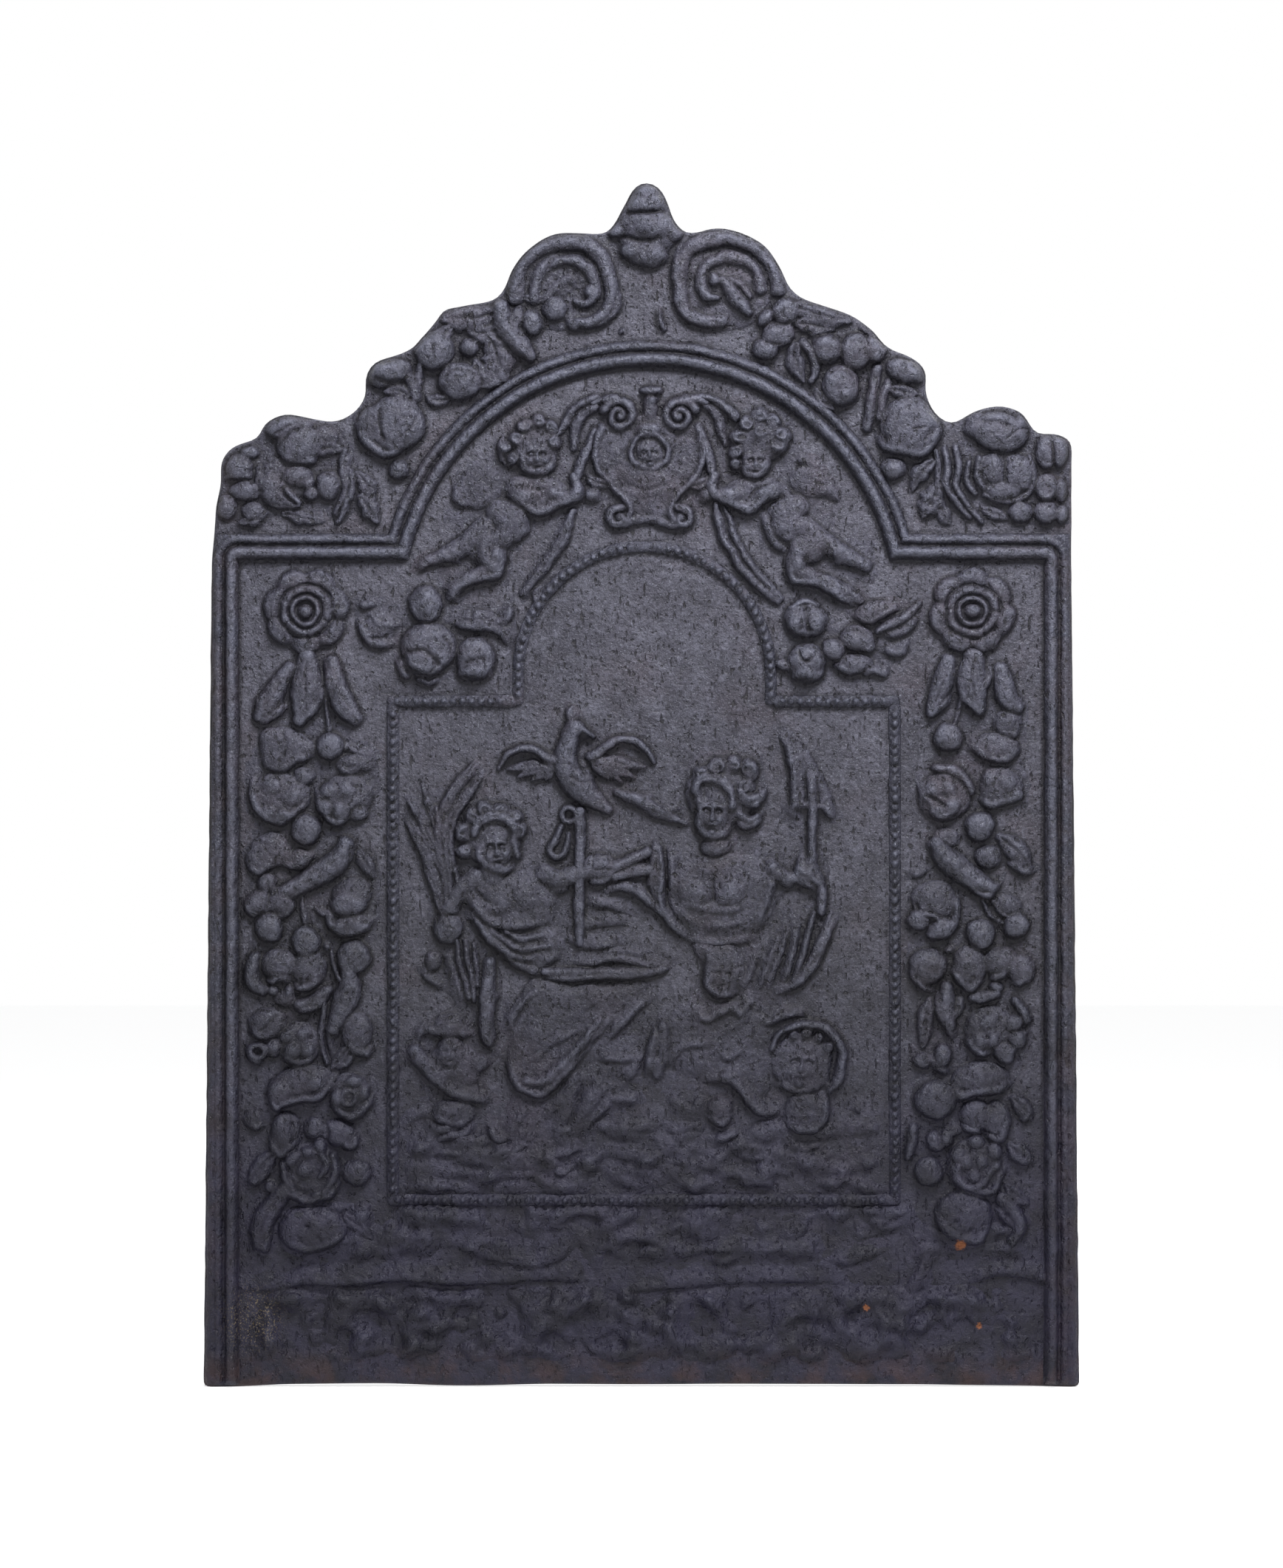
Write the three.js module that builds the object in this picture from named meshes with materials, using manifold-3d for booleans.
// Cast-iron fireback with relief ornament: a back plate with an arched crest, a moulded frame,
// a beaded inner border, fruit garlands, two winged children and a scene with two standing figures.
// Millimetres. X runs to the right, the decorated front faces -Y, Z is up from the foot.

import * as THREE from 'three';
import { mergeVertices } from 'three/addons/utils/BufferGeometryUtils.js';
import Module from 'manifold-3d';

const wasm = await Module();
wasm.setup();

// Plate
const PLATE_THICKNESS = 18;
const FOOT_WIDTH = 594;
const SHOULDER_WIDTH = 583;
const SHOULDER_HEIGHT = 560;
const CORNER_RISE = 86.5;
const CREST_OVER_ARCH = 108;
const STILE_INSET = 1;

// Frame moulding along the stiles, shoulders and arch
const FRAME_WIDTH = 17;
const FRAME_RISE = 8;
const FRAME_GROOVE = 3.5;
const ARCH_OUTER_RADIUS = 184;
const ARCH_CENTRE_DROP = 35.5;
const ARCH_OFFSET = 5;

// Foot band below the ledge
const LEDGE_HEIGHT = 76;
const LEDGE_WIDTH = 9;
const LEDGE_RISE = 3;

// Beaded border of the inner panel
const PANEL_WIDTH = 341;
const PANEL_FOOT = 125.5;
const PANEL_SHOULDER_DROP = 95;
const PANEL_NECK_WIDTH = 169;
const PANEL_ARCH_LIFT = 19;
const PANEL_OFFSET = 2;
const BORDER_WIDTH = 8;
const BORDER_RISE = 4;

// Heights of the ornament above the face of the plate
const FRUIT_RISE = 10;
const BERRY_RISE = 7;
const LEAF_RISE = 5;
const POD_RISE = 7.5;
const STEM_RISE = 2.5;
const RIBBON_RISE = 4;
const SCROLL_RISE = 6.5;
const BODY_RISE = 9;
const HEAD_RISE = 11;
const ROBE_RISE = 5.5;
const GROUND_RISE = 3;

// Clearance between neighbouring ornaments
const CLEARANCE = 0.4;

// Fineness of the curves
const ARCH_STEP_DEGREES = 8;
const PANEL_ARCH_STEP_DEGREES = 9;
const VOLUTE_STEP_DEGREES = 30;
const RING_STEPS = 12;
const MERGE_TOLERANCE = 1e-5;

const FRONT = -PLATE_THICKNESS / 2;
const ARCH_CENTRE = SHOULDER_HEIGHT - ARCH_CENTRE_DROP;
const ARCH_INNER_RADIUS = ARCH_OUTER_RADIUS - FRAME_WIDTH;
const PANEL_SHOULDER = SHOULDER_HEIGHT - PANEL_SHOULDER_DROP;
const PANEL_ARCH_CENTRE = PANEL_SHOULDER + PANEL_ARCH_LIFT;
const PANEL_ARCH_RADIUS = PANEL_NECK_WIDTH / 2;

// ---------------------------------------------------------------- materials

const iron = (color, roughness) => new THREE.MeshStandardMaterial({ color, roughness, metalness: 0.8 });
const plateIron = () => iron(0x3d3d42, 0.68);
const frameIron = () => iron(0x434348, 0.62);
const reliefIron = () => iron(0x4a4a50, 0.58);

// ---------------------------------------------------------------- solids

function toSolid(source) {
  const geometry = source.clone();
  geometry.deleteAttribute('normal');
  geometry.deleteAttribute('uv');
  const merged = mergeVertices(geometry, MERGE_TOLERANCE);
  const mesh = new wasm.Mesh({
    numProp: 3,
    vertProperties: new Float32Array(merged.attributes.position.array),
    triVerts: new Uint32Array(merged.index.array),
  });
  return new wasm.Manifold(mesh);
}

function toGeometry(solid) {
  const mesh = solid.getMesh();
  const geometry = new THREE.BufferGeometry();
  const positions = new Float32Array(mesh.vertProperties);
  geometry.setAttribute('position', new THREE.BufferAttribute(positions, 3));
  geometry.setIndex(new THREE.BufferAttribute(new Uint32Array(mesh.triVerts), 1));
  const flat = geometry.toNonIndexed();
  flat.computeVertexNormals();
  return flat;
}

function signedVolume(positions, triangles) {
  let volume = 0;
  const [a, b, c] = [new THREE.Vector3(), new THREE.Vector3(), new THREE.Vector3()];
  for (let i = 0; i < triangles.length; i += 3) {
    a.fromArray(positions, triangles[i] * 3);
    b.fromArray(positions, triangles[i + 1] * 3);
    c.fromArray(positions, triangles[i + 2] * 3);
    volume += a.dot(b.cross(c));
  }
  return volume;
}

// A flat-backed bar: a section of [across, rise] points carried along a run of [x, z] points.
// size(t) scales the section along the run, from t = 0 to t = 1. MITRE_LIMIT_RATIO limits how far a
// corner of the section reaches out at a bend.
const MITRE_LIMIT_RATIO = 0.75;

function bar(run, profile, size = () => 1, closed = false) {
  const outline = profile.map(([across, rise]) => new THREE.Vector2(across, rise));
  const section = THREE.ShapeUtils.isClockWise(outline) ? [...profile].reverse() : profile;
  const positions = [];
  const triangles = [];
  const rings = run.length;
  const sides = section.length;
  const at = (i) => run[closed ? (i + rings) % rings : THREE.MathUtils.clamp(i, 0, rings - 1)];
  for (let i = 0; i < rings; i += 1) {
    const here = new THREE.Vector2(...at(i));
    const back = here.clone().sub(new THREE.Vector2(...at(i - 1)));
    const ahead = new THREE.Vector2(...at(i + 1)).sub(here);
    const before = back.length() > 0 ? back.normalize() : ahead.clone().normalize();
    const after = ahead.length() > 0 ? ahead.normalize() : before.clone();
    const along = before.clone().add(after).normalize();
    const mitre = 1 / Math.max(MITRE_LIMIT_RATIO, along.dot(before));
    const scale = size(rings > 1 ? i / (rings - 1) : 0);
    for (const [across, rise] of section) {
      const reach = across * mitre * scale;
      positions.push(here.x - along.y * reach, -rise * scale, here.y + along.x * reach);
    }
  }
  const last = closed ? rings : rings - 1;
  for (let i = 0; i < last; i += 1) {
    for (let j = 0; j < sides; j += 1) {
      const k = (j + 1) % sides;
      const [a, b] = [i * sides + j, i * sides + k];
      const [c, d] = [((i + 1) % rings) * sides + j, ((i + 1) % rings) * sides + k];
      triangles.push(a, b, d, a, d, c);
    }
  }
  if (!closed) {
    const cap = section.map(([across, rise]) => new THREE.Vector2(across, rise));
    for (const [a, b, c] of THREE.ShapeUtils.triangulateShape(cap, [])) {
      const end = (rings - 1) * sides;
      triangles.push(a, c, b, end + a, end + b, end + c);
    }
  }
  if (signedVolume(positions, triangles) < 0) {
    triangles.reverse();
  }
  const mesh = new wasm.Mesh({
    numProp: 3,
    vertProperties: new Float32Array(positions),
    triVerts: new Uint32Array(triangles),
  });
  return new wasm.Manifold(mesh);
}

// A low rounded section, drawn in shares of its half width and its rise.
const ROUND_PROFILE = [[-1, 0], [-0.6, 0.85], [0.6, 0.85], [1, 0]];
const roundSection = (half, rise) => ROUND_PROFILE.map(([out, up]) => [out * half, up * rise]);

function smooth(points, steps) {
  const knots = points.map(([x, z]) => new THREE.Vector3(x, z, 0));
  const curve = new THREE.CatmullRomCurve3(knots, false, 'centripetal');
  return curve.getPoints(steps).map((point) => [point.x, point.y]);
}

// ---------------------------------------------------------------- ornament shapes
// Each returns a function of the growth that is put round it, so that a neighbour can be cut clear.

const DOME_PROFILE = [
  new THREE.Vector2(0, 0),
  new THREE.Vector2(1, 0),
  new THREE.Vector2(0.72, 0.72),
  new THREE.Vector2(0, 1),
];

const dome = (x, z, across, up, rise, turn = 0, sides = 8) => (grow) => {
  const geometry = new THREE.LatheGeometry(DOME_PROFILE, sides);
  geometry.scale(across + grow, rise + grow, up + grow);
  geometry.rotateX(Math.PI);
  geometry.rotateY(-THREE.MathUtils.degToRad(turn));
  geometry.translate(x, 0, z);
  return toSolid(geometry);
};

const fruit = (x, z, across, up = across, turn = 0) => dome(x, z, across, up, FRUIT_RISE, turn);
const berry = (x, z, across, up = across) => dome(x, z, across, up, BERRY_RISE, 0, 7);
const petal = (x, z, across, up, turn = 0) => dome(x, z, across, up, LEAF_RISE, turn, 6);
const limb = (x, z, across, up, turn = 0) => dome(x, z, across, up, BODY_RISE, turn);
const head = (x, z, across, up) => dome(x, z, across, up, HEAD_RISE, 0, 10);
const lock = (x, z, across, up = across, turn = 0) => dome(x, z, across, up, BODY_RISE, turn, 6);
const swell = (x, z, across, up, turn = 0) => dome(x, z, across, up, ROBE_RISE, turn, 8);
const mound = (x, z, across, up, turn = 0) => dome(x, z, across, up, GROUND_RISE, turn);

// A rope swells towards its middle; taper is the share of its section that is left at a bare tip.
const ROPE_TIP_SHARE = 0.08;
const ROPE_FULLNESS = 0.6;
const rope = (points, half, rise, taper) => (grow) => {
  const run = smooth(points, points.length);
  const swelling = (t) => {
    const angle = Math.PI * THREE.MathUtils.lerp(ROPE_TIP_SHARE, 1 - ROPE_TIP_SHARE, t);
    return taper + (1 - taper) * Math.sin(angle) ** ROPE_FULLNESS;
  };
  return bar(run, roundSection(half + grow, rise + grow), swelling);
};

const leaf = (points, half) => rope(points, half, LEAF_RISE, 0.12);
const pod = (points, half) => rope(points, half, POD_RISE, 0.45);
const stem = (points, half = 3) => rope(points, half, STEM_RISE, 0.8);
const band = (points, half = 5) => rope(points, half, RIBBON_RISE, 0.6);
const arm = (points, half) => rope(points, half, BODY_RISE, 0.65);
const fold = (points, half = 5) => rope(points, half, ROBE_RISE, 0.4);

const ring = (x, z, radius, half, rise) => (grow) => {
  const run = Array.from({ length: RING_STEPS }, (_, i) => {
    const angle = (i / RING_STEPS) * 2 * Math.PI;
    return [x + radius * Math.cos(angle), z + radius * Math.sin(angle)];
  });
  return bar(run, roundSection(half + grow, rise + grow), () => 1, true);
};

// A scroll that winds from the outer radius to the inner one between two angles in degrees.
const VOLUTE_THINNING = 0.35;
const volute = (x, z, from, to, outer, inner, half) => (grow) => {
  const steps = Math.ceil(Math.abs(to - from) / VOLUTE_STEP_DEGREES);
  const run = Array.from({ length: steps + 1 }, (_, i) => {
    const angle = THREE.MathUtils.degToRad(THREE.MathUtils.lerp(from, to, i / steps));
    const radius = THREE.MathUtils.lerp(outer, inner, i / steps);
    return [x + radius * Math.cos(angle), z + radius * Math.sin(angle)];
  });
  return bar(run, roundSection(half + grow, SCROLL_RISE + grow), (t) => 1 - VOLUTE_THINNING * t);
};

function joined(shapes, grow) {
  return shapes.map((shape) => shape(grow)).reduce((whole, shape) => whole.add(shape));
}

// ---------------------------------------------------------------- layouts
// The ornament is drawn in the places that it has on a plate of the drawn sizes. A layout carries a
// drawn point [x, z] to the plate's own sizes, so that what is drawn together stays together.

const stileTop = SHOULDER_HEIGHT + FRAME_WIDTH;
const stileDepth = STILE_INSET + FRAME_WIDTH;
const panelLeft = PANEL_OFFSET - PANEL_WIDTH / 2;
const panelRight = PANEL_OFFSET + PANEL_WIDTH / 2;
const neckLeft = PANEL_OFFSET - PANEL_NECK_WIDTH / 2;
const neckRight = PANEL_OFFSET + PANEL_NECK_WIDTH / 2;
const panelTop = PANEL_ARCH_CENTRE + PANEL_ARCH_RADIUS;
const archTop = ARCH_CENTRE + ARCH_INNER_RADIUS;
const archLeft = ARCH_OFFSET - ARCH_INNER_RADIUS;
const archRight = ARCH_OFFSET + ARCH_INNER_RADIUS;
const ledgeTop = LEDGE_HEIGHT + LEDGE_WIDTH / 2;

// The inner edge of a stile at a height. The stiles lean, because the foot is wider than the shoulders.
const stile = {
  foot: FOOT_WIDTH / 2 - stileDepth,
  shoulder: SHOULDER_WIDTH / 2 - stileDepth,
  top: stileTop,
};
const drawnStile = { foot: 279, shoulder: 273.5, top: 577 };
const stileAt = ({ foot, shoulder, top }, z) => THREE.MathUtils.lerp(foot, shoulder, z / top);

// Carries a value from one row of knots to another, straight between them and beyond the ends.
function carried(value, from, to) {
  const next = from.findIndex((knot) => value < knot);
  const i = next < 0 ? from.length - 2 : Math.max(0, next - 1);
  return to[i] + ((value - from[i]) * (to[i + 1] - to[i])) / (from[i + 1] - from[i]);
}

// Everything below the shoulders: the inner panel, the drops at its sides and the spandrels.
function face([x, z]) {
  const drawnHeights = [0, 80.5, 125.5, 465, 560];
  const heights = [0, ledgeTop, PANEL_FOOT, PANEL_SHOULDER, SHOULDER_HEIGHT];
  const height = carried(z, drawnHeights, heights);
  const drawnEdge = stileAt(drawnStile, z);
  const edge = stileAt(stile, height);
  const drawnSides = [-drawnEdge, -168.5, -82.5, 86.5, 172.5, drawnEdge];
  const sides = [-edge, panelLeft, neckLeft, neckRight, panelRight, edge];
  return [carried(x, drawnSides, sides), height];
}

// The field between the round top of the panel and the arch.
function tympanum([x, z]) {
  return [
    carried(x, [-162, 172], [archLeft, archRight]),
    carried(z, [465, 568.5, 691.5], [PANEL_SHOULDER, panelTop, archTop]),
  ];
}

// The crest rides on the arch in the middle, and its corners stand on the shoulders.
const drawnArch = { x: 5, z: 524.5, radius: 184, over: 108, reach: 190 };
const drawnShoulder = { half: 291.5, z: 560, corner: 86.5 };

function crest([x, z]) {
  const out = x - drawnArch.x;
  const up = z - drawnArch.z;
  const far = Math.hypot(out, up);
  const reach = carried(
    far,
    [0, drawnArch.radius, drawnArch.radius + drawnArch.over],
    [0, ARCH_OUTER_RADIUS, ARCH_OUTER_RADIUS + CREST_OVER_ARCH],
  );
  const { half, corner } = drawnShoulder;
  const cornerX = (x * SHOULDER_WIDTH) / (2 * half);
  const cornerZ = SHOULDER_HEIGHT + ((z - drawnShoulder.z) * CORNER_RISE) / corner;
  const onArch = THREE.MathUtils.clamp((half - Math.abs(x)) / (half - drawnArch.reach), 0, 1);
  return [
    THREE.MathUtils.lerp(cornerX, ARCH_OFFSET + (out * reach) / far, onArch),
    THREE.MathUtils.lerp(cornerZ, ARCH_CENTRE + (up * reach) / far, onArch),
  ];
}

function laid(solid, layout) {
  return solid.warp((vertex) => {
    [vertex[0], vertex[2]] = layout([vertex[0], vertex[2]]);
  });
}

// ---------------------------------------------------------------- plate

const CREST_EDGE_LEFT = [
  [-289, 586], [-288, 600], [-285, 611], [-285.5, 624], [-280, 635], [-268, 640.5], [-259.5, 643],
  [-257, 651], [-243, 659.5], [-228, 657.5], [-210, 654], [-197, 658.5], [-187, 671], [-187.5, 685],
  [-182, 694], [-156, 703], [-148, 713], [-139.5, 721], [-135, 729.5], [-106, 735], [-95, 740],
  [-89, 755], [-78, 770], [-60, 781.4], [-45, 782.5], [-24, 782], [-16, 793], [-9, 806], [-4, 814.5],
];
const CREST_EDGE_RIGHT = [
  [12, 813.5], [18, 802], [22.5, 790], [31, 781.3], [50, 785.5], [68, 782.5], [86, 771.5], [95, 757],
  [103, 741], [122, 733.5], [143, 726], [158, 715], [167, 704], [184, 697.5], [193, 688], [192.5, 674],
  [200, 658.5], [209, 652.5], [226, 661.5], [243, 665], [259, 660], [267, 646], [279, 646.5],
  [291, 641], [291.5, 626],
];

function plateOutline() {
  const edge = [...CREST_EDGE_LEFT, [4, 816.5], ...CREST_EDGE_RIGHT];
  const top = smooth(edge, edge.length * 2).map(crest);
  const foot = FOOT_WIDTH / 2;
  const shoulder = SHOULDER_WIDTH / 2;
  return [
    [-foot, 0],
    [-shoulder, SHOULDER_HEIGHT],
    ...top,
    [shoulder, SHOULDER_HEIGHT],
    [foot, 0],
  ];
}

function prism(outline, near, far) {
  const shape = new THREE.Shape(outline.map(([x, z]) => new THREE.Vector2(x, z)));
  const geometry = new THREE.ExtrudeGeometry(shape, { depth: far - near, bevelEnabled: false });
  geometry.rotateX(Math.PI / 2);
  geometry.translate(0, far, 0);
  return toSolid(geometry);
}

// ---------------------------------------------------------------- frame moulding

// Two rounds with a groove between them, from the outer edge at 0 to the inner edge, in shares of the
// frame's width and rise. GROOVE_FLOOR is the share of the rise that is left under the groove.
const GROOVE_FLOOR = 1 - FRAME_GROOVE / FRAME_RISE;
const FRAME_PROFILE = [
  [0, 0], [0.05, 0.7], [0.3, 0.85], [0.43, GROOVE_FLOOR],
  [0.53, GROOVE_FLOOR], [0.66, 1], [0.88, 0.9], [1, 0],
];

// With growth the section is its plain envelope.
function frameSection(grow) {
  if (grow > 0) {
    const [near, far] = [-grow, FRAME_WIDTH + grow];
    return [[near, 0], [near, FRAME_RISE + grow], [far, FRAME_RISE + grow], [far, 0]];
  }
  return FRAME_PROFILE.map(([out, up]) => [out * FRAME_WIDTH, up * FRAME_RISE]);
}

// A stretch of the frame along a run, with the moulding on the side away from the plate's edge.
const frameRun = (run, side) => (grow) => {
  const section = frameSection(grow).map(([across, rise]) => [across * side, rise]);
  return bar(run, section);
};

function stileRun(side) {
  const foot = FOOT_WIDTH / 2 - STILE_INSET;
  const shoulder = SHOULDER_WIDTH / 2 - STILE_INSET;
  return frameRun([[side * foot, 0], [side * shoulder, stileTop]], side);
}

const shoulderRun = (from, to) => frameRun([[from, stileTop], [to, stileTop]], -1);

function archRun(from, to) {
  const steps = Math.ceil((to - from) / ARCH_STEP_DEGREES);
  const run = Array.from({ length: steps + 1 }, (_, i) => {
    const angle = THREE.MathUtils.degToRad(THREE.MathUtils.lerp(from, to, i / steps));
    return [
      ARCH_OFFSET + ARCH_OUTER_RADIUS * Math.cos(angle),
      ARCH_CENTRE + ARCH_OUTER_RADIUS * Math.sin(angle),
    ];
  });
  return frameRun(run, 1);
}

const ledgeRun = (from, to) => (grow) => {
  const section = roundSection(LEDGE_WIDTH / 2 + grow, LEDGE_RISE + grow);
  return bar([[from, LEDGE_HEIGHT], [to, LEDGE_HEIGHT]], section);
};

// ---------------------------------------------------------------- beaded border

const halfBorder = BORDER_WIDTH / 2;
const borderRun = (run) => (grow) => bar(run, roundSection(halfBorder + grow, BORDER_RISE + grow));
const uprightBorder = (x) => borderRun([[x, PANEL_FOOT], [x, PANEL_SHOULDER]]);
const levelBorder = (z, from, to) => borderRun([[from, z], [to, z]]);

// Half of the panel's round top, from its crown down to the foot of its neck.
function panelArch(side) {
  const steps = Math.ceil(90 / PANEL_ARCH_STEP_DEGREES);
  const run = Array.from({ length: steps + 1 }, (_, i) => {
    const angle = (i / steps) * (Math.PI / 2);
    return [
      PANEL_OFFSET + side * PANEL_ARCH_RADIUS * Math.sin(angle),
      PANEL_ARCH_CENTRE + PANEL_ARCH_RADIUS * Math.cos(angle),
    ];
  });
  const foot = [PANEL_OFFSET + side * PANEL_ARCH_RADIUS, PANEL_SHOULDER - halfBorder];
  return borderRun([...run, foot]);
}

// ---------------------------------------------------------------- crest

const crestFinial = () => [
  dome(3, 808.5, 10, 7.5, BERRY_RISE),
  fruit(3, 799, 14, 10),
  fruit(4, 786, 19, 11.5),
  fruit(3, 768, 13, 9.5),
  berry(-16.5, 784, 6, 5.5),
  berry(23, 783, 6, 5.5),
];

const crestVoluteLeft = () => [
  volute(-54, 745, 52, 410, 31, 21, 7.5),
  volute(-50, 744, 10, 260, 14, 6, 5),
  dome(-54, 745, 22, 22, STEM_RISE),
];

const crestVoluteRight = () => [
  volute(54, 747, 128, -230, 31, 21, 7.5),
  volute(56, 746, 170, -80, 13, 6, 5),
  dome(54, 747, 22, 22, STEM_RISE),
];

const crestFruitLeft = () => [
  berry(-68, 709, 8, 9),
  berry(-59, 701, 7),
  pod([[-96, 731], [-91, 715], [-82, 706], [-75, 701]], 8),
  leaf([[-99, 727], [-116, 724], [-133, 722]], 9),
  berry(-116, 705, 7),
  fruit(-139, 702, 14, 13),
  fruit(-122, 683, 14, 14.5),
  leaf([[-83, 712], [-98, 697], [-110, 690]], 13),
  stem([[-76, 704], [-100, 706], [-120, 712], [-138, 706]], 6),
];

const crestFruitRight = () => [
  fruit(97, 727, 8),
  fruit(92, 712, 11, 9),
  fruit(84, 702, 8),
  leaf([[101, 720], [124, 727], [147, 718]], 11),
  fruit(125, 702, 10),
  fruit(146, 701, 10, 13),
  fruit(160, 702, 8, 11),
  fruit(134, 679, 12, 12),
  leaf([[106, 706], [114, 696], [116, 682]], 7),
  stem([[84, 704], [105, 708], [125, 706], [150, 706]], 6),
  stem([[126, 702], [134, 680]], 6),
];

const crestGarlandLeft = () => [
  fruit(-184, 650, 8, 12),
  fruit(-166, 652, 20),
  fruit(-172, 685, 13, 10),
  berry(-166, 624, 7, 7),
  petal(-158, 676, 12, 10),
  stem([[-172, 682], [-168, 655], [-166, 626]], 6),
];

const crestGarlandRight = () => [
  fruit(180, 651, 21, 21),
  fruit(180, 686, 13, 10),
  petal(162, 678, 12, 9),
  berry(176, 620, 8),
  petal(186, 612, 9, 14),
  stem([[180, 684], [180, 655], [178, 622]], 6),
];

const cornerSprayLeft = () => [
  fruit(-271, 625, 10, 11),
  berry(-267, 605, 9, 9),
  fruit(-245, 649, 12, 9),
  fruit(-229, 639, 16, 13),
  petal(-249, 609, 9, 11, 20),
  petal(-236, 616, 12, 11),
  petal(-222, 604, 8, 7),
  berry(-211, 610, 7, 10),
  leaf([[-203, 632], [-201, 612], [-207, 590]], 5),
  leaf([[-258, 606], [-250, 594], [-232, 590]], 5),
  petal(-215, 646, 16, 7),
  petal(-188, 592, 16, 10),
  stem([[-271, 622], [-266, 608], [-240, 600], [-205, 592], [-186, 594]], 5),
  stem([[-215, 642], [-220, 622], [-224, 600]], 5),
];

const cornerSprayRight = () => [
  fruit(279, 634, 10, 11.5),
  berry(275, 610, 10),
  fruit(245, 648, 19, 14),
  fruit(240, 621, 9),
  fruit(254, 617, 12),
  petal(243, 607, 18, 8),
  leaf([[208, 634], [209, 616], [222, 596]], 6),
  leaf([[219, 626], [222, 610], [230, 598]], 5),
  berry(256, 592, 9),
  petal(273, 593, 10, 8),
  petal(195, 593, 13, 9),
  petal(222, 643, 12, 9),
  stem([[279, 630], [276, 606], [250, 598], [220, 596], [196, 592]], 5),
  stem([[222, 640], [224, 620], [230, 600]], 5),
];

// ---------------------------------------------------------------- tympanum

const cartouche = () => [
  volute(-15, 657, 20, -330, 12.5, 5, 4.5),
  volute(26, 654, 160, 510, 12, 5, 4.5),
  dome(5.5, 634, 14, 14, BODY_RISE),
  berry(5.5, 648, 9, 5),
  swell(6, 615, 33, 27),
  berry(-15, 588, 8, 7),
  berry(24, 586, 8, 7),
  petal(-31, 608, 9, 8),
  petal(36, 603, 9, 8),
  petal(5, 584, 16, 5),
  petal(6, 668, 7, 9),
  stem([[-15, 657], [5, 650], [26, 654]], 8),
  stem([[5, 650], [6, 670]], 6),
];

const cherubLeft = () => [
  head(-72, 634, 12.5, 15.5),
  lock(-71, 647, 12, 6),
  lock(-86, 636, 6, 9),
  arm([[-92, 609], [-68, 597], [-42, 606]], 9.5),
  limb(-88, 585, 12, 15),
  arm([[-97, 580], [-97, 557], [-122, 543], [-128, 535]], 8),
  arm([[-94, 580], [-120, 563], [-148, 554]], 7),
  stem([[-86, 606], [-110, 610]], 6),
  petal(-112, 611, 14, 13, 30),
  leaf([[-98, 622], [-118, 612], [-125, 600]], 8),
  swell(-74, 614, 12, 10),
];

const cherubRight = () => [
  head(75, 627, 11, 14),
  lock(81, 646, 16, 10),
  lock(92, 636, 8, 8),
  lock(63, 643, 6, 6),
  arm([[95, 608], [77, 598], [49, 608]], 9.5),
  limb(98, 585, 13, 16),
  arm([[114, 574], [105, 556], [128, 542], [151, 528]], 8),
  arm([[112, 566], [132, 557], [152, 552]], 6.5),
  petal(114, 616, 16, 12, -30),
  leaf([[104, 628], [122, 618], [131, 603]], 8),
  swell(82, 611, 13, 10),
  stem([[90, 606], [112, 612]], 6),
];

const ribbonLeft = () => [
  band([[-28, 669], [-40, 664], [-45, 650], [-40, 634], [-45, 616]], 5),
  band([[-57, 652], [-50, 661], [-38, 668]], 4),
];

const ribbonRight = () => [
  band([[38, 672], [56, 664], [65, 655]], 4),
  band([[40, 670], [43, 650], [46, 632], [52, 615]], 5),
];

const tailLeft = () => [
  band([[-47, 592], [-53, 574], [-66, 553], [-80, 532]], 5),
];

const tailRight = () => [
  band([[50, 597], [56, 576], [68, 556], [92, 533]], 5),
  band([[58, 590], [68, 566], [84, 546], [95, 535]], 4),
];

// ---------------------------------------------------------------- spandrels

const swagLeft = () => [
  petal(-181, 524, 13, 11, -20),
  petal(-181, 508, 9, 8),
  fruit(-146, 531, 12),
  fruit(-143, 500, 18, 17.5),
  fruit(-112, 493, 13.5),
  petal(-111, 521, 17, 9),
  leaf([[-164, 505], [-162, 493], [-159, 481]], 5),
  leaf([[-156, 484], [-143, 477], [-130, 482]], 5),
  stem([[-184, 518], [-165, 515], [-146, 514], [-112, 508]], 6),
];

const swagRight = () => [
  fruit(112, 520, 15, 11),
  fruit(112, 492, 11, 12),
  fruit(131, 499, 8),
  fruit(143, 490, 11, 8),
  petal(143, 507, 13, 9),
  petal(158, 524, 15, 8, 15),
  leaf([[188, 528], [174, 516], [162, 508]], 8),
  petal(171, 503, 7, 9),
  leaf([[150, 490], [160, 487], [168, 482]], 5),
  stem([[112, 508], [140, 508], [170, 510]], 7),
];

function rosette(x, z, petals) {
  return [
    ring(x, z, 15, 4, FRUIT_RISE - 2),
    dome(x, z, 8.5, 8.5, FRUIT_RISE),
    swell(x, z, 24, 24),
    ...petals.map(([px, pz, across, up, turn]) => petal(px, pz, across, up, turn)),
  ];
}

const rosetteLeft = () => rosette(-227, 526, [
  [-245, 541, 14, 9, 40], [-209, 542, 14, 9, -40], [-202, 516, 7, 13, -10], [-225, 502, 15, 7, 0],
  [-252, 518, 8, 13, 10],
]);

const rosetteRight = () => rosette(225, 527, [
  [208, 545, 14, 8, 35], [241, 547, 14, 8, -35], [199, 521, 7, 12, 10], [223, 503, 16, 7, 0],
  [249, 522, 8, 12, -10],
]);

// ---------------------------------------------------------------- fruit drops

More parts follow.
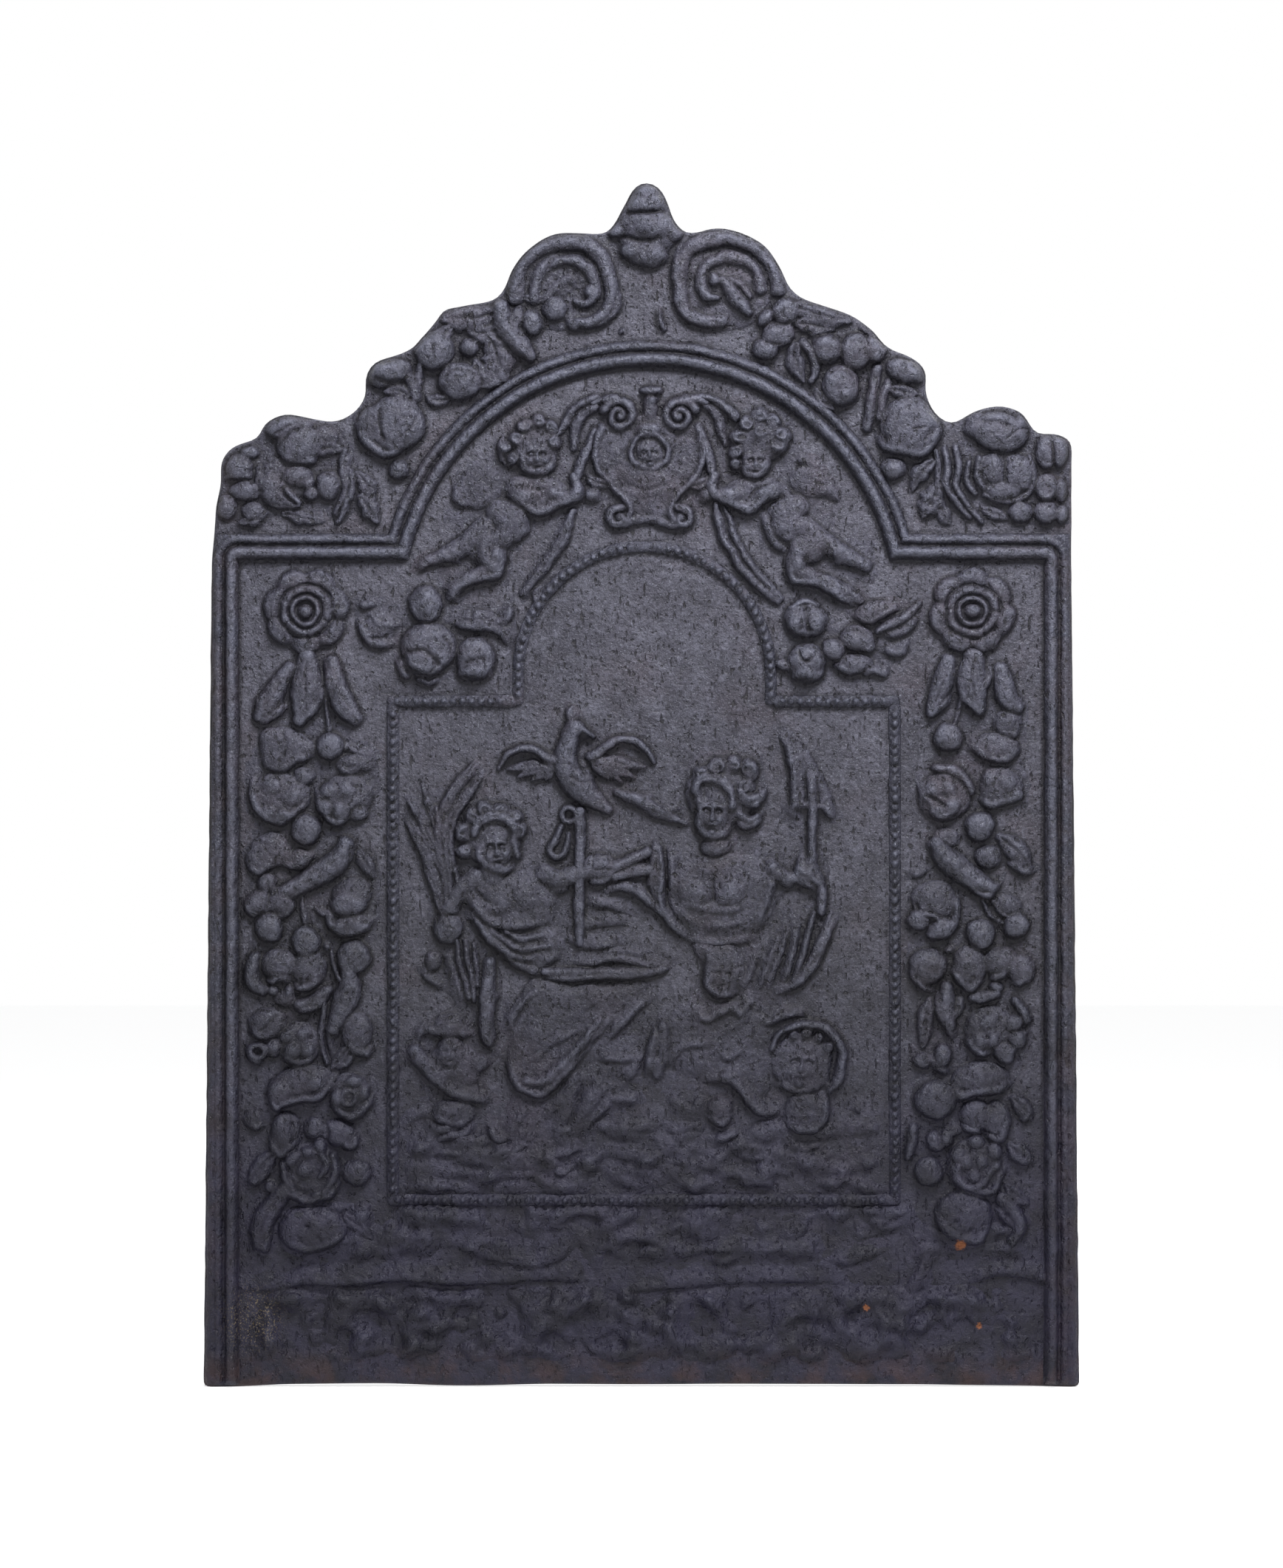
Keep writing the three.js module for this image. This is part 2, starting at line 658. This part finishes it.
const dropLeavesLeft = () => [
  leaf([[-240, 488], [-251, 468], [-262, 452]], 13),
  leaf([[-227, 492], [-226, 470], [-233, 449]], 13),
  leaf([[-212, 492], [-206, 470], [-193, 450]], 11),
  fruit(-211, 434, 10),
  stem([[-213, 468], [-212, 452], [-211, 440]], 3),
  stem([[-240, 478], [-226, 482], [-208, 480]], 6),
];

const dropUpperLeft = () => [
  ...dropLeavesLeft(),
  stem([[-227, 456], [-233, 440], [-238, 424]], 7),
  leaf([[-258, 434], [-245, 424], [-228, 428]], 12),
  fruit(-243, 398, 20, 17.5),
  fruit(-202, 397, 19, 17.5),
  berry(-227, 378, 10.5),
  petal(-227, 414, 8, 8),
  leaf([[-208, 420], [-194, 420], [-182, 424]], 7),
  leaf([[-262, 354], [-252, 366], [-238, 372]], 13),
  petal(-232, 357, 11, 9),
  petal(-187, 360, 8, 14),
  stem([[-230, 420], [-222, 398], [-226, 360]], 8),
  stem([[-196, 384], [-190, 372], [-188, 362]], 6),
];

const dropMiddleLeft = () => [
  pod([[-200, 369], [-206, 356], [-222, 345], [-241, 339]], 9),
  fruit(-196, 323, 18, 18),
  leaf([[-262, 322], [-250, 330], [-238, 326]], 11),
  berry(-252, 310, 10),
  berry(-227, 302, 10.5),
  fruit(-193, 291, 14, 14),
  fruit(-250, 282, 17, 18),
  fruit(-225, 278, 15, 15),
  leaf([[-236, 258], [-221, 259], [-208, 268]], 7),
  stem([[-212, 346], [-228, 330], [-227, 308], [-226, 284]], 5),
  stem([[-252, 322], [-252, 308], [-250, 290]], 5),
  stem([[-208, 316], [-208, 300], [-205, 286], [-226, 276]], 5),
];

const dropLowerLeft = () => [
  pod([[-195, 268], [-203, 250], [-207, 228], [-221, 208], [-244, 200]], 10),
  fruit(-235, 232, 14, 13),
  petal(-253, 245, 13, 8),
  petal(-257, 229, 9, 9),
  petal(-190, 238, 11, 13),
  fruit(-197, 200, 15, 16),
  petal(-260, 187, 8, 13),
  petal(-219, 181, 20, 11),
  petal(-242, 171, 9, 13),
  stem([[-252, 228], [-225, 222], [-206, 212], [-197, 206]], 6),
  stem([[-212, 210], [-222, 196], [-222, 182]], 6),
  stem([[-244, 200], [-256, 196], [-258, 190]], 6),
];

const dropFootLeft = () => [
  fruit(-222, 148, 19, 19),
  fruit(-189, 150, 11, 13),
  petal(-259, 150, 11, 10),
  pod([[-243, 137], [-251, 118], [-257, 98]], 8),
  fruit(-223, 110, 21, 16),
  fruit(-184, 108, 14, 14),
  stem([[-256, 146], [-222, 132], [-200, 140], [-186, 148]], 6),
  stem([[-222, 132], [-220, 112], [-190, 106]], 6),
  stem([[-240, 140], [-230, 138]], 6),
];

const dropLeavesRight = () => [
  leaf([[208, 486], [202, 470], [195, 454]], 10),
  leaf([[221, 492], [223, 470], [231, 455]], 12),
  leaf([[238, 486], [246, 470], [257, 458]], 10),
  fruit(207, 439, 10),
  stem([[213, 466], [211, 452], [208, 444]], 3),
  stem([[205, 478], [222, 482], [240, 478]], 6),
];

const dropUpperRight = () => [
  ...dropLeavesRight(),
  stem([[229, 460], [233, 444], [236, 430]], 7),
  petal(249, 446, 10, 9),
  leaf([[222, 436], [238, 430], [256, 432]], 9),
  fruit(203, 402, 17, 19),
  fruit(245, 407, 15, 15),
  berry(229, 379, 10.5),
  petal(233, 356, 10, 9),
  petal(257, 353, 7, 11),
  petal(192, 372, 6, 12),
  stem([[249, 440], [232, 420], [228, 398], [230, 360]], 7),
  stem([[232, 404], [203, 400], [196, 384], [193, 374]], 6),
  stem([[234, 356], [246, 356], [256, 356]], 5),
];

const dropMiddleRight = () => [
  pod([[198, 366], [207, 351], [221, 343], [240, 337]], 9),
  fruit(202, 322, 17, 18),
  berry(229, 305, 10.5),
  berry(254, 313, 9),
  fruit(195, 284, 13.5, 14),
  fruit(230, 281, 18, 15),
  fruit(257, 280, 11, 12),
  stem([[218, 346], [228, 328], [230, 306], [230, 284]], 5),
  stem([[232, 338], [248, 330], [254, 316], [257, 284]], 5),
  stem([[207, 312], [206, 298], [210, 286], [228, 280]], 5),
];

const dropLowerRight = () => [
  pod([[206, 266], [208, 248], [204, 230], [204, 214]], 9),
  fruit(231, 240, 15, 15),
  petal(252, 249, 10, 12),
  petal(252, 228, 10, 8),
  petal(187, 228, 8, 12),
  petal(231, 211, 20, 12),
  fruit(198, 193, 14, 15),
  petal(235, 184, 17, 12),
  petal(260, 190, 7, 13),
  stem([[250, 232], [226, 228], [206, 224], [188, 226]], 6),
  stem([[204, 218], [214, 206], [222, 190], [200, 190]], 6),
  stem([[240, 188], [258, 190]], 5),
];

const dropFootRight = () => [
  fruit(231, 149, 19, 19),
  berry(195, 146, 9.5),
  petal(198, 165, 9, 7),
  fruit(217, 114, 17, 15),
  leaf([[258, 128], [256, 112], [250, 97]], 8),
  leaf([[250, 132], [242, 118], [236, 106]], 6),
  stem([[198, 164], [197, 150], [212, 134], [218, 118]], 6),
  stem([[218, 132], [236, 130], [258, 122]], 6),
];

// ---------------------------------------------------------------- scene

const palmFronds = () => [
  leaf([[-134, 330], [-133, 372], [-128, 402], [-113, 425]], 7),
  leaf([[-128, 356], [-125, 388], [-108, 413]], 6),
  leaf([[-135, 335], [-142, 372], [-158, 396]], 7),
  leaf([[-134, 318], [-144, 350], [-159, 384]], 6),
  dome(-131, 311, 10.5, 10.5, BODY_RISE),
  stem([[-134, 340], [-132, 316]], 7),
];

const leftFigureHead = () => [
  head(-99, 367, 13, 18),
  lock(-120, 375, 8, 10),
  lock(-105, 388, 15, 8),
  lock(-88, 384, 9, 9),
  lock(-119, 362, 8, 6),
  stem([[-121, 372], [-100, 374]], 7),
  dome(-96, 349, 9, 10, ROBE_RISE),
];

const leftFigureBodice = () => [
  limb(-90, 325, 27, 17, -8),
  swell(-100, 342, 26, 14),
  arm([[-66, 335], [-55, 350], [-52, 366]], 7),
  arm([[-68, 328], [-44, 318], [-30, 330]], 8),
  swell(-82, 300, 24, 14),
  fold([[-108, 325], [-120, 300], [-118, 272]], 9),
];

const leftFigureSkirt = () => [
  fold([[-108, 282], [-108, 255], [-104, 232]], 7),
  swell(-72, 250, 32, 25),
  limb(-66, 222, 25, 20, 20),
  fold([[-92, 262], [-86, 235], [-90, 205]], 9),
  fold([[-42, 262], [-26, 245], [-36, 222]], 10),
  swell(-44, 198, 22, 14),
  fold([[-90, 210], [-78, 190], [-80, 172]], 9),
  fold([[-50, 198], [-46, 180], [-56, 160]], 9),
];

const staff = () => [
  rope([[-42, 380], [-43, 340], [-42, 300]], 6, RIBBON_RISE, 0.8),
  ring(-49, 386, 6, 3, RIBBON_RISE),
];

const bird = () => [
  dome(-43, 444, 9, 8, BODY_RISE),
  leaf([[-44, 441], [-37, 440], [-31, 439]], 4),
  leaf([[-46, 448], [-48, 455], [-48, 461]], 4),
  limb(-42, 415, 12, 22, 20),
  arm([[-50, 440], [-54, 430], [-50, 420]], 7),
  leaf([[-40, 406], [-32, 398], [-22, 390]], 10),
  leaf([[-50, 424], [-74, 428], [-96, 420]], 9),
  leaf([[-50, 418], [-64, 418], [-80, 416]], 9),
  leaf([[-36, 424], [-14, 437], [8, 421]], 8),
  leaf([[-36, 418], [-18, 422], [0, 418]], 9),
];

const claspedHands = () => [
  limb(-13, 352, 15, 12),
  arm([[-34, 348], [-22, 340], [-12, 346]], 9),
  petal(2, 362, 9, 11),
];

const sash = () => [
  fold([[11, 372], [16, 350], [13, 326]], 6),
  fold([[11, 330], [13, 308], [10, 286]], 5),
  band([[-64, 279], [-24, 281], [16, 283]], 6),
  band([[-60, 282], [-28, 291], [6, 285]], 4),
];

const rightFigureHead = () => [
  head(50, 391, 13, 19.5),
  lock(50, 415, 16, 8),
  lock(66, 418, 9, 8),
  lock(73, 403, 10),
  lock(72, 386, 10, 8),
  stem([[58, 398], [74, 396]], 7),
  dome(50, 367, 11, 8, ROBE_RISE),
];

const rightFigureBodice = () => [
  limb(38, 338, 17, 16),
  limb(62, 336, 17, 16),
  swell(52, 345, 35, 20),
  arm([[82, 348], [86, 328], [96, 318]], 9),
  swell(54, 312, 30, 16),
  arm([[22, 336], [24, 316], [44, 304]], 7),
];

const rightFigureSkirt = () => [
  fold([[98, 305], [92, 282], [80, 262]], 9),
  fold([[122, 310], [114, 288], [98, 270]], 9),
  swell(62, 274, 26, 24),
  limb(48, 275, 10, 16),
  swell(46, 236, 28, 16),
  fold([[58, 264], [52, 240]], 9),
  swell(70, 225, 22, 16),
  fold([[28, 235], [14, 226], [12, 206]], 8),
  fold([[60, 222], [74, 206], [80, 190]], 9),
  limb(54, 190, 12, 12),
  fold([[60, 208], [56, 198], [54, 190]], 7),
];

const spear = () => [
  leaf([[93, 444], [104, 415], [102, 388]], 8),
  leaf([[96, 440], [122, 418], [129, 387]], 8),
  swell(113, 408, 12, 20),
  rope([[115, 396], [114, 375], [114, 358]], 4, RIBBON_RISE, 0.8),
  limb(114, 348, 10, 12),
  fold([[116, 344], [124, 334], [126, 320]], 6),
];

const leftChild = () => [
  head(-131, 227, 12, 13),
  lock(-132, 245, 18, 9),
  limb(-124, 203, 19, 11, -20),
  arm([[-152, 222], [-144, 210], [-132, 203]], 6),
  limb(-124, 184, 18, 9),
  fold([[-112, 200], [-112, 186], [-122, 180]], 7),
  arm([[-108, 215], [-106, 200], [-114, 196]], 5),
];

const rightChild = () => [
  dome(111, 221, 23, 23, HEAD_RISE, 0, 14),
  limb(112, 187, 15, 15),
  berry(96, 249, 12, 6),
  stem([[100, 248], [106, 240]], 6),
];

const ground = () => [
  mound(-120, 150, 42, 16),
  mound(-60, 145, 45, 14),
  mound(0, 150, 50, 20),
  mound(60, 150, 45, 16),
  mound(125, 148, 38, 16),
];

// ---------------------------------------------------------------- assembly

const fireback = new THREE.Group();
fireback.name = 'fireback';

const outline = plateOutline();
const beyondRelief = FRONT - 3 * HEAD_RISE;
const overPlate = prism(outline, beyondRelief, FRONT);
const blank = prism(outline, FRONT, -FRONT);
let taken = null;

// Adds a solid whose mesh is centred on its own box.
function addMesh(name, solid, material) {
  const { min, max } = solid.boundingBox();
  const centre = min.map((low, axis) => (low + max[axis]) / 2);
  const geometry = toGeometry(solid.translate(centre.map((value) => -value)));
  const mesh = new THREE.Mesh(geometry, material);
  mesh.name = name;
  mesh.position.set(...centre);
  fireback.add(mesh);
}

// Adds an ornament on the face of the plate, cut clear of what is already there.
function addRelief(name, shapes, material, layout = null) {
  const seat = (grow) => {
    const whole = joined(shapes, grow);
    return (layout ? laid(whole, layout) : whole).translate([0, FRONT, 0]);
  };
  const kept = seat(0).intersect(overPlate);
  const solid = taken ? kept.subtract(taken) : kept;
  const clear = seat(CLEARANCE);
  taken = taken ? taken.add(clear) : clear;
  addMesh(name, solid, material);
}

addMesh('back_plate', blank, plateIron());

// Runs that end at a stile or the arch reach into it, and are cut clear of it.
const ledgeEnd = stileAt(stile, LEDGE_HEIGHT) + CLEARANCE;
const shoulderEnd = stile.shoulder + CLEARANCE;
const springing = THREE.MathUtils.radToDeg(Math.asin(ARCH_CENTRE_DROP / ARCH_INNER_RADIUS));
const archPieces = 3;
const sweep = (180 - 2 * springing) / archPieces;

addRelief('left_stile_moulding', [stileRun(-1)], frameIron());
addRelief('right_stile_moulding', [stileRun(1)], frameIron());
addRelief('arch_moulding_right', [archRun(springing, springing + sweep)], frameIron());
addRelief('arch_moulding_crown', [archRun(springing + sweep, springing + 2 * sweep)], frameIron());
addRelief('arch_moulding_left', [archRun(springing + 2 * sweep, 180 - springing)], frameIron());
addRelief('left_shoulder_moulding', [shoulderRun(-shoulderEnd, archLeft)], frameIron());
addRelief('right_shoulder_moulding', [shoulderRun(archRight, shoulderEnd)], frameIron());
addRelief('foot_ledge', [ledgeRun(-ledgeEnd, ledgeEnd)], frameIron());

const leftShoulder = levelBorder(PANEL_SHOULDER, panelLeft - halfBorder, neckLeft);
const rightShoulder = levelBorder(PANEL_SHOULDER, neckRight, panelRight + halfBorder);
addRelief('left_bead_border', [uprightBorder(panelLeft)], frameIron());
addRelief('right_bead_border', [uprightBorder(panelRight)], frameIron());
addRelief('bottom_bead_border', [levelBorder(PANEL_FOOT, panelLeft, panelRight)], frameIron());
addRelief('left_bead_arch', [panelArch(-1)], frameIron());
addRelief('right_bead_arch', [panelArch(1)], frameIron());
addRelief('left_bead_shoulder', [leftShoulder], frameIron());
addRelief('right_bead_shoulder', [rightShoulder], frameIron());

const RELIEF = [
  ['crest_finial', crestFinial, crest],
  ['crest_volute_left', crestVoluteLeft, crest],
  ['crest_volute_right', crestVoluteRight, crest],
  ['crest_fruit_left', crestFruitLeft, crest],
  ['crest_fruit_right', crestFruitRight, crest],
  ['crest_garland_left', crestGarlandLeft, crest],
  ['crest_garland_right', crestGarlandRight, crest],
  ['corner_spray_left', cornerSprayLeft, crest],
  ['corner_spray_right', cornerSprayRight, crest],
  ['cartouche', cartouche, tympanum],
  ['cherub_left', cherubLeft, tympanum],
  ['cherub_right', cherubRight, tympanum],
  ['ribbon_left', ribbonLeft, tympanum],
  ['ribbon_right', ribbonRight, tympanum],
  ['ribbon_tail_left', tailLeft, tympanum],
  ['ribbon_tail_right', tailRight, tympanum],
  ['rosette_left', rosetteLeft, face],
  ['rosette_right', rosetteRight, face],
  ['swag_left', swagLeft, face],
  ['swag_right', swagRight, face],
  ['drop_upper_left', dropUpperLeft, face],
  ['drop_middle_left', dropMiddleLeft, face],
  ['drop_lower_left', dropLowerLeft, face],
  ['drop_foot_left', dropFootLeft, face],
  ['drop_upper_right', dropUpperRight, face],
  ['drop_middle_right', dropMiddleRight, face],
  ['drop_lower_right', dropLowerRight, face],
  ['drop_foot_right', dropFootRight, face],
  ['left_figure_head', leftFigureHead, face],
  ['right_figure_head', rightFigureHead, face],
  ['bird', bird, face],
  ['clasped_hands', claspedHands, face],
  ['staff', staff, face],
  ['spear', spear, face],
  ['palm_fronds', palmFronds, face],
  ['left_figure_bodice', leftFigureBodice, face],
  ['right_figure_bodice', rightFigureBodice, face],
  ['sash', sash, face],
  ['left_child', leftChild, face],
  ['right_child', rightChild, face],
  ['left_figure_skirt', leftFigureSkirt, face],
  ['right_figure_skirt', rightFigureSkirt, face],
  ['ground', ground, face],
];

for (const [name, shapes, layout] of RELIEF) {
  addRelief(name, shapes(), reliefIron(), layout);
}

export default fireback;
